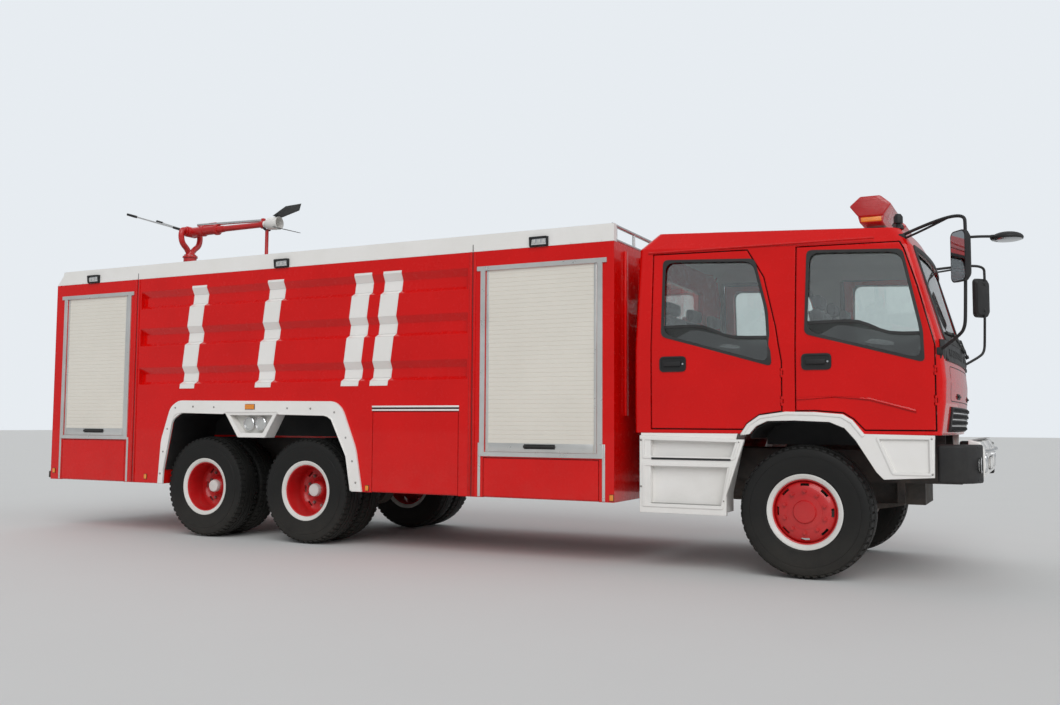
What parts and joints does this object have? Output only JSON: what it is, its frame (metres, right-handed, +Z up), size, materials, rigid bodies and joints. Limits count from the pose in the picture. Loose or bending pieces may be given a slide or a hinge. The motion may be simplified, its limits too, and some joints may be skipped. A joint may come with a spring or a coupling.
{
  "type": "fire truck",
  "caption": "Heavy three-axle fire truck with a crew cab, roller-shutter lockers, a water tank body and a roof monitor that turns and lifts.",
  "frame": {"origin": "on the ground under the middle of the overall box", "axes": "+X forward, +Y to the truck's left, +Z up"},
  "size_m": [10.531, 2.92, 3.9115],
  "materials": {
    "body_red": "glossy red paint",
    "body_white": "white paint",
    "shutter_white": "painted aluminium slats",
    "frame_metal": "pale anodised trim",
    "chassis_dark": "dark chassis paint",
    "driveline_metal": "cast metal",
    "black_plastic": "moulded black plastic",
    "trim_dark": "dark grey moulding",
    "seat_cloth": "woven seat cloth",
    "glass": "lightly tinted glass",
    "lamp_red": "red lamp lens",
    "lamp_mixed": "lamp lenses",
    "tyre_black": "tyre rubber",
    "rim_red": "red painted wheel",
    "monitor_red": "red painted castings",
    "tube_metal": "bright steel tube"
  },
  "bodies": {
    "chassis": {"chassis_frame": "chassis_dark", "driveline": "driveline_metal", "front_axle": "chassis_dark", "rear_axles": "chassis_dark", "chassis_tanks": "tube_metal", "body_rear": "body_red", "body_tank": "body_red", "body_front": "body_red", "roller_shutters": "shutter_white", "shutter_frames": "frame_metal", "arch_trims": "body_white", "roof_fascia": "body_white", "roof_rail": "tube_metal", "ladder": "tube_metal", "cab_shell": "body_red", "cab_glass": "glass", "dashboard": "trim_dark", "seats": "seat_cloth", "cab_grille": "black_plastic", "bumper": "body_white", "cab_skirts": "body_white", "light_bar": "lamp_red", "mirrors": "black_plastic", "lamps": "lamp_mixed", "monitor_base": "monitor_red", "monitor_rest": "monitor_red"},
    "knuckle_left": {"knuckle_left": "chassis_dark"},
    "wheel_front_left": {"rim_front_left": "rim_red", "tyre_front_left": "tyre_black"},
    "knuckle_right": {"knuckle_right": "chassis_dark"},
    "wheel_front_right": {"rim_front_right": "rim_red", "tyre_front_right": "tyre_black"},
    "wheel_middle_left": {"rim_middle_left": "rim_red", "tyre_middle_left": "tyre_black"},
    "wheel_middle_right": {"rim_middle_right": "rim_red", "tyre_middle_right": "tyre_black"},
    "wheel_rear_left": {"rim_rear_left": "rim_red", "tyre_rear_left": "tyre_black"},
    "wheel_rear_right": {"rim_rear_right": "rim_red", "tyre_rear_right": "tyre_black"},
    "door_front_left": {"door_front_left": "body_red", "glass_front_left": "glass"},
    "door_front_right": {"door_front_right": "body_red", "glass_front_right": "glass"},
    "door_rear_left": {"door_rear_left": "body_red", "glass_rear_left": "glass"},
    "door_rear_right": {"door_rear_right": "body_red", "glass_rear_right": "glass"},
    "flap_front_left": {"flap_front_left": "body_red"},
    "flap_front_right": {"flap_front_right": "body_red"},
    "flap_rear_left": {"flap_rear_left": "body_red"},
    "flap_rear_right": {"flap_rear_right": "body_red"},
    "flap_access_left": {"flap_access_left": "body_red"},
    "flap_access_right": {"flap_access_right": "body_red"},
    "monitor_turret": {"monitor_turret": "monitor_red"},
    "monitor_barrel": {"monitor_barrel": "monitor_red"}
  },
  "joints": [
    {"name": "steer_left", "type": "hinge", "parent": "chassis", "child": "knuckle_left", "pos_m": [3.635, 0.86, 0.535], "axis": [0, 0, 1], "range_deg": [-35, 35]},
    {"name": "spin_front_left", "type": "hinge", "parent": "knuckle_left", "child": "wheel_front_left", "pos_m": [3.635, 1.04, 0.535], "axis": [0, 1, 0], "continuous": true},
    {"name": "steer_right", "type": "hinge", "parent": "chassis", "child": "knuckle_right", "pos_m": [3.635, -0.86, 0.535], "axis": [0, 0, 1], "range_deg": [-35, 35]},
    {"name": "spin_front_right", "type": "hinge", "parent": "knuckle_right", "child": "wheel_front_right", "pos_m": [3.635, -1.04, 0.535], "axis": [0, 1, 0], "continuous": true},
    {"name": "spin_middle_left", "type": "hinge", "parent": "chassis", "child": "wheel_middle_left", "pos_m": [-1.355, 1.08, 0.535], "axis": [0, 1, 0], "continuous": true},
    {"name": "spin_middle_right", "type": "hinge", "parent": "chassis", "child": "wheel_middle_right", "pos_m": [-1.355, -1.08, 0.535], "axis": [0, 1, 0], "continuous": true},
    {"name": "spin_rear_left", "type": "hinge", "parent": "chassis", "child": "wheel_rear_left", "pos_m": [-2.725, 1.08, 0.535], "axis": [0, 1, 0], "continuous": true},
    {"name": "spin_rear_right", "type": "hinge", "parent": "chassis", "child": "wheel_rear_right", "pos_m": [-2.725, -1.08, 0.535], "axis": [0, 1, 0], "continuous": true},
    {"name": "door_front_left_hinge", "type": "hinge", "parent": "chassis", "child": "door_front_left", "pos_m": [4.635, 1.2, 1.535], "axis": [0, 0, -1], "range_deg": [0, 70]},
    {"name": "door_front_right_hinge", "type": "hinge", "parent": "chassis", "child": "door_front_right", "pos_m": [4.635, -1.2, 1.535], "axis": [0, 0, 1], "range_deg": [0, 70]},
    {"name": "door_rear_left_hinge", "type": "hinge", "parent": "chassis", "child": "door_rear_left", "pos_m": [3.471, 1.2, 1.535], "axis": [0, 0, -1], "range_deg": [0, 70]},
    {"name": "door_rear_right_hinge", "type": "hinge", "parent": "chassis", "child": "door_rear_right", "pos_m": [3.471, -1.2, 1.535], "axis": [0, 0, 1], "range_deg": [0, 70]},
    {"name": "flap_front_left_hinge", "type": "hinge", "parent": "chassis", "child": "flap_front_left", "pos_m": [1.31, 1.235, 0.568], "axis": [-1, 0, 0], "range_deg": [0, 90]},
    {"name": "flap_front_right_hinge", "type": "hinge", "parent": "chassis", "child": "flap_front_right", "pos_m": [1.31, -1.235, 0.568], "axis": [1, 0, 0], "range_deg": [0, 90]},
    {"name": "flap_rear_left_hinge", "type": "hinge", "parent": "chassis", "child": "flap_rear_left", "pos_m": [-4.42, 1.235, 0.568], "axis": [-1, 0, 0], "range_deg": [0, 90]},
    {"name": "flap_rear_right_hinge", "type": "hinge", "parent": "chassis", "child": "flap_rear_right", "pos_m": [-4.42, -1.235, 0.568], "axis": [1, 0, 0], "range_deg": [0, 90]},
    {"name": "flap_access_left_hinge", "type": "hinge", "parent": "chassis", "child": "flap_access_left", "pos_m": [-0.025, 1.235, 0.568], "axis": [-1, 0, 0], "range_deg": [0, 90]},
    {"name": "flap_access_right_hinge", "type": "hinge", "parent": "chassis", "child": "flap_access_right", "pos_m": [-0.025, -1.235, 0.568], "axis": [1, 0, 0], "range_deg": [0, 90]},
    {"name": "monitor_turn", "type": "hinge", "parent": "chassis", "child": "monitor_turret", "pos_m": [-4.265, 0, 3.34], "axis": [0, 0, 1], "range_deg": [-170, 170]},
    {"name": "monitor_lift", "type": "hinge", "parent": "monitor_turret", "child": "monitor_barrel", "pos_m": [-4.265, 0, 3.632], "axis": [0, -1, 0], "range_deg": [0, 70]}
  ],
  "couplings": [
    {"joint": "steer_right", "follows": "steer_left", "ratio": 1}
  ]
}
